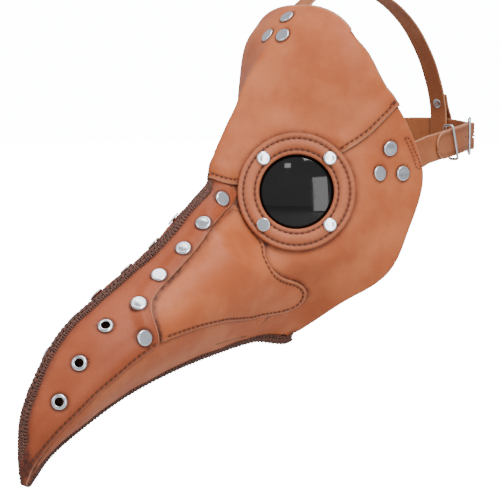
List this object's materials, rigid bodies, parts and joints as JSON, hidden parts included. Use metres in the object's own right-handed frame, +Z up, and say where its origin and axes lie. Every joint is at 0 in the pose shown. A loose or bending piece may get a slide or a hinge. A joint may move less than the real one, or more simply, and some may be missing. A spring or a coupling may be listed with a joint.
{
  "type": "plague doctor mask",
  "caption": "Long-beaked leather half mask with round smoked lenses, riveted beak, vent eyelets, a buckled strap round the head and a strap over the crown.",
  "frame": {"origin": "middle of the wearer's head at eye level", "axes": "+Z up, the beak points to -Y, +X is the wearer's left"},
  "size_m": [0.18, 0.4762, 0.3913],
  "materials": {
    "panel_leather": "satin orange-brown leather, darkened along seams",
    "ring_leather": "satin brown leather, padded and stitched",
    "lining_leather": "plain flesh side",
    "strap_leather": "satin",
    "thread": "waxed dark brown thread",
    "nickel": "polished nickel plate",
    "smoked_lens": "polished, dark tint"
  },
  "bodies": {
    "mask": {"forehead_panel": "panel_leather", "left_cheek_panel": "panel_leather", "right_cheek_panel": "panel_leather", "left_side_panel": "panel_leather", "right_side_panel": "panel_leather", "left_beak_strip": "panel_leather", "right_beak_strip": "panel_leather", "dorsal_lacing": "thread", "ventral_lacing": "thread", "left_eye_ring": "ring_leather", "right_eye_ring": "ring_leather", "left_lens": "smoked_lens", "right_lens": "smoked_lens", "left_lens_retainer": "lining_leather", "right_lens_retainer": "lining_leather", "left_eye_rivets": "nickel", "right_eye_rivets": "nickel", "left_eye_rivet_backs": "nickel", "right_eye_rivet_backs": "nickel", "left_beak_rivets": "nickel", "right_beak_rivets": "nickel", "left_beak_rivet_backs": "nickel", "right_beak_rivet_backs": "nickel", "left_temple_rivets": "nickel", "right_temple_rivets": "nickel", "left_temple_rivet_backs": "nickel", "right_temple_rivet_backs": "nickel", "brow_rivets": "nickel", "brow_rivet_backs": "nickel", "left_vent_eyelets": "nickel", "right_vent_eyelets": "nickel", "left_vent_washers": "nickel", "right_vent_washers": "nickel", "left_strap": "strap_leather", "right_strap": "strap_leather", "crown_strap": "strap_leather", "crown_loop_rivet": "nickel", "crown_loop_rivet_back": "nickel", "buckle_frame": "nickel"},
    "tongue": {"buckle_tongue": "nickel"},
    "keeper": {"strap_keeper": "nickel"}
  },
  "joints": [
    {"name": "tongue_pivot", "type": "hinge", "parent": "mask", "child": "tongue", "pos_m": [0.0545, 0.0873, 0.05], "axis": [0, 0, -1], "range_deg": [0, 60]},
    {"name": "keeper_slide", "type": "slide", "parent": "mask", "child": "keeper", "axis": [-0.2491, 0.9609, 0.121], "range_m": [-0.005, 0.005]}
  ]
}
